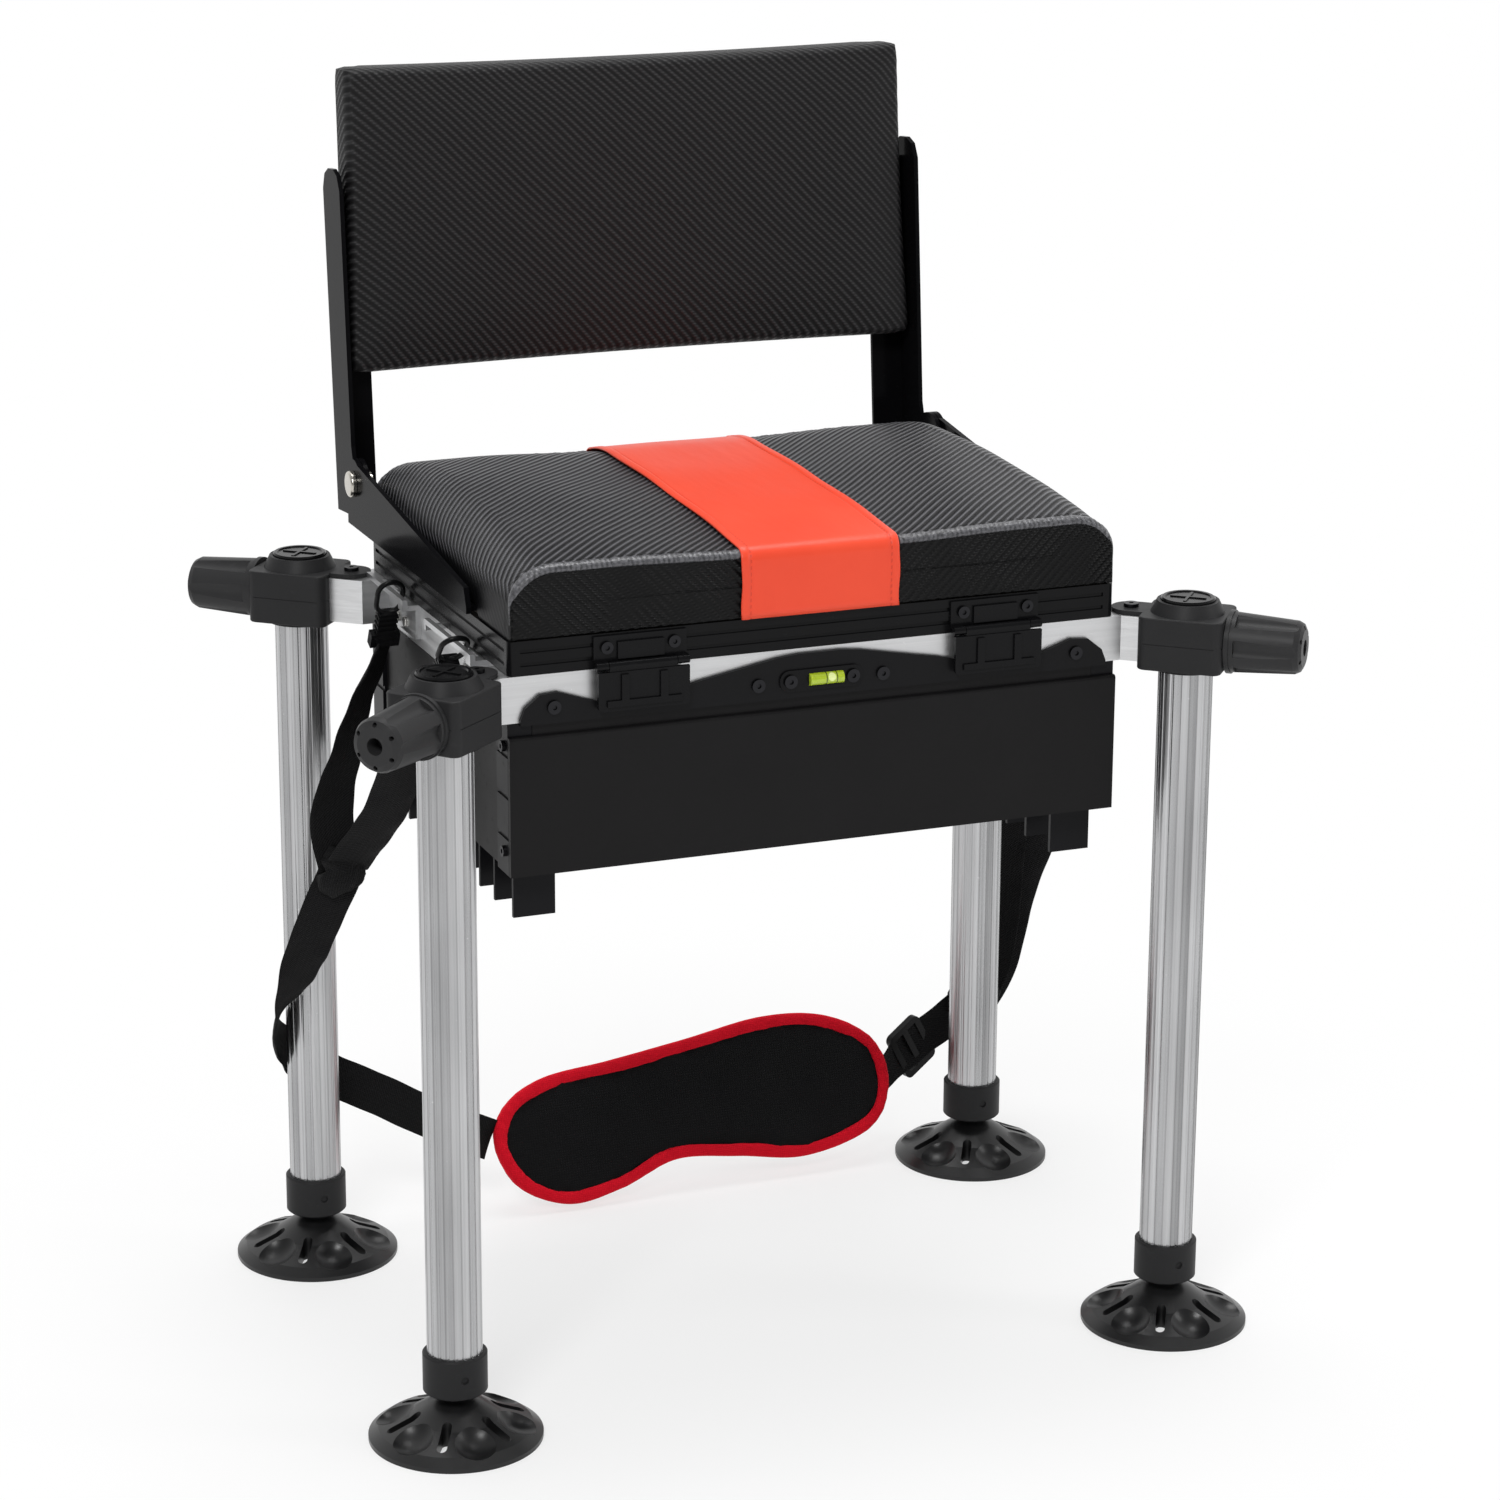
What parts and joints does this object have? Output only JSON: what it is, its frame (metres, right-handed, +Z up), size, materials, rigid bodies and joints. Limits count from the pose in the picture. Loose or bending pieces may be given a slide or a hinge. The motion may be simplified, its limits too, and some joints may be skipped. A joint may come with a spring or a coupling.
{
  "type": "fishing seat box",
  "caption": "Seat box for fishing: a case under an aluminium frame on clamped adjustable legs, with a hinged cushioned lid, a folding backrest, latches and a carrying strap.",
  "frame": {"origin": "on the floor, under the middle of the object's outline without its strap", "axes": "+X to the right seen from the front, +Y towards the backrest, +Z up"},
  "size_m": [0.6853, 0.4692, 0.8305],
  "materials": {
    "frame_aluminium": "satin anodised",
    "leg_aluminium": "bright anodised, ribbed",
    "lid_black": "satin black",
    "collar_black": "moulded",
    "case_plastic": "fine satin",
    "block_plastic": "moulded matte",
    "knob_grey": "moulded satin",
    "cap_black": "glossy",
    "dark_screws": "blackened",
    "bright_screws": "polished",
    "fascia_black": "gloss black",
    "level_black": "moulded",
    "level_green": "tinted vial",
    "latch_black": "gloss black",
    "hinge_steel": "brushed",
    "lug_aluminium": "plain",
    "rivet_steel": "plain",
    "hook_black": "moulded",
    "webbing_black": "woven twill",
    "shoulder_black": "woven, red binding",
    "lid_corner_black": "moulded",
    "lid_board_wood": "stained ply",
    "seat_vinyl": "ribbed vinyl",
    "backrest_vinyl": "ribbed vinyl",
    "bracket_black": "mirror gloss black",
    "upright_black": "gloss black",
    "bolt_nickel": "nickel plated",
    "foot_rubber": "glossy moulded"
  },
  "bodies": {
    "chassis": {"front_rail": "frame_aluminium", "rear_rail": "frame_aluminium", "side_rails": "frame_aluminium", "corner_arms": "frame_aluminium", "case_front": "case_plastic", "case_walls": "case_plastic", "case_base": "case_plastic", "case_posts": "case_plastic", "case_feet": "case_plastic", "frame_screws": "dark_screws", "front_fascia": "fascia_black", "fascia_screws": "bright_screws", "level_housing": "level_black", "level_vial": "level_green", "latch_keepers": "latch_black", "hinge_leaves": "hinge_steel", "strap_lugs": "lug_aluminium", "lug_rivets": "rivet_steel", "snap_hooks": "hook_black", "strap_loops": "webbing_black", "strap_left": "webbing_black", "strap_right": "webbing_black", "shoulder_pad": "shoulder_black", "slider_buckle": "hook_black", "leg_block_fl": "block_plastic", "leg_block_fr": "block_plastic", "leg_block_rl": "block_plastic", "leg_block_rr": "block_plastic"},
    "lid": {"lid_frame": "lid_black", "lid_corners": "lid_corner_black", "lid_board": "lid_board_wood", "seat_cushion": "seat_vinyl", "latch_plates": "latch_black", "latch_screws": "bright_screws", "backrest_brackets": "bracket_black"},
    "latch_left": {"latch_lever_left": "latch_black"},
    "latch_right": {"latch_lever_right": "latch_black"},
    "backrest": {"backrest_uprights": "upright_black", "backrest_pad": "backrest_vinyl", "pivot_bolts": "bolt_nickel"},
    "leg_fl": {"leg_tube_fl": "leg_aluminium", "leg_cap_fl": "cap_black", "foot_collar_fl": "collar_black"},
    "knob_fl": {"clamp_knob_fl": "knob_grey"},
    "foot_fl": {"mud_foot_fl": "foot_rubber"},
    "leg_fr": {"leg_tube_fr": "leg_aluminium", "leg_cap_fr": "cap_black", "foot_collar_fr": "collar_black"},
    "knob_fr": {"clamp_knob_fr": "knob_grey"},
    "foot_fr": {"mud_foot_fr": "foot_rubber"},
    "leg_rl": {"leg_tube_rl": "leg_aluminium", "leg_cap_rl": "cap_black", "foot_collar_rl": "collar_black"},
    "knob_rl": {"clamp_knob_rl": "knob_grey"},
    "foot_rl": {"mud_foot_rl": "foot_rubber"},
    "leg_rr": {"leg_tube_rr": "leg_aluminium", "leg_cap_rr": "cap_black", "foot_collar_rr": "collar_black"},
    "knob_rr": {"clamp_knob_rr": "knob_grey"},
    "foot_rr": {"mud_foot_rr": "foot_rubber"}
  },
  "joints": [
    {"name": "lid_hinge", "type": "hinge", "parent": "chassis", "child": "lid", "pos_m": [0, 0.136, 0.5], "axis": [-1, 0, 0], "range_deg": [0, 95]},
    {"name": "latch_left_hinge", "type": "hinge", "parent": "lid", "child": "latch_left", "pos_m": [-0.122, -0.1635, 0.5026], "axis": [-1, 0, 0], "range_deg": [0, 110]},
    {"name": "latch_right_hinge", "type": "hinge", "parent": "lid", "child": "latch_right", "pos_m": [0.122, -0.1635, 0.5026], "axis": [-1, 0, 0], "range_deg": [0, 110]},
    {"name": "backrest_fold", "type": "hinge", "parent": "lid", "child": "backrest", "pos_m": [0, 0.145, 0.557], "axis": [1, 0, 0], "range_deg": [0, 92]},
    {"name": "leg_fl_slide", "type": "slide", "parent": "chassis", "child": "leg_fl", "axis": [0, 0, 1], "range_m": [0, 0.28]},
    {"name": "knob_fl_turn", "type": "hinge", "parent": "chassis", "child": "knob_fl", "pos_m": [-0.25508, -0.17289, 0.485], "axis": [-0.766, -0.6428, 0], "range_deg": [0, 720]},
    {"name": "foot_fl_tilt", "type": "hinge", "parent": "leg_fl", "child": "foot_fl", "pos_m": [-0.25508, -0.17289, 0.024], "axis": [1, 0, 0], "range_deg": [-15, 15]},
    {"name": "leg_fr_slide", "type": "slide", "parent": "chassis", "child": "leg_fr", "axis": [0, 0, 1], "range_m": [0, 0.28]},
    {"name": "knob_fr_turn", "type": "hinge", "parent": "chassis", "child": "knob_fr", "pos_m": [0.25508, -0.17289, 0.485], "axis": [0.766, -0.6428, 0], "range_deg": [0, 720]},
    {"name": "foot_fr_tilt", "type": "hinge", "parent": "leg_fr", "child": "foot_fr", "pos_m": [0.25508, -0.17289, 0.024], "axis": [1, 0, 0], "range_deg": [-15, 15]},
    {"name": "leg_rl_slide", "type": "slide", "parent": "chassis", "child": "leg_rl", "axis": [0, 0, 1], "range_m": [0, 0.28], "deforming": ["strap_left"]},
    {"name": "knob_rl_turn", "type": "hinge", "parent": "chassis", "child": "knob_rl", "pos_m": [-0.25508, 0.14689, 0.485], "axis": [-0.766, 0.6428, 0], "range_deg": [0, 720]},
    {"name": "foot_rl_tilt", "type": "hinge", "parent": "leg_rl", "child": "foot_rl", "pos_m": [-0.25508, 0.14689, 0.024], "axis": [1, 0, 0], "range_deg": [-15, 15]},
    {"name": "leg_rr_slide", "type": "slide", "parent": "chassis", "child": "leg_rr", "axis": [0, 0, 1], "range_m": [0, 0.28], "deforming": ["strap_right", "strap_loops"]},
    {"name": "knob_rr_turn", "type": "hinge", "parent": "chassis", "child": "knob_rr", "pos_m": [0.25508, 0.14689, 0.485], "axis": [0.766, 0.6428, 0], "range_deg": [0, 720]},
    {"name": "foot_rr_tilt", "type": "hinge", "parent": "leg_rr", "child": "foot_rr", "pos_m": [0.25508, 0.14689, 0.024], "axis": [1, 0, 0], "range_deg": [-15, 15]}
  ]
}
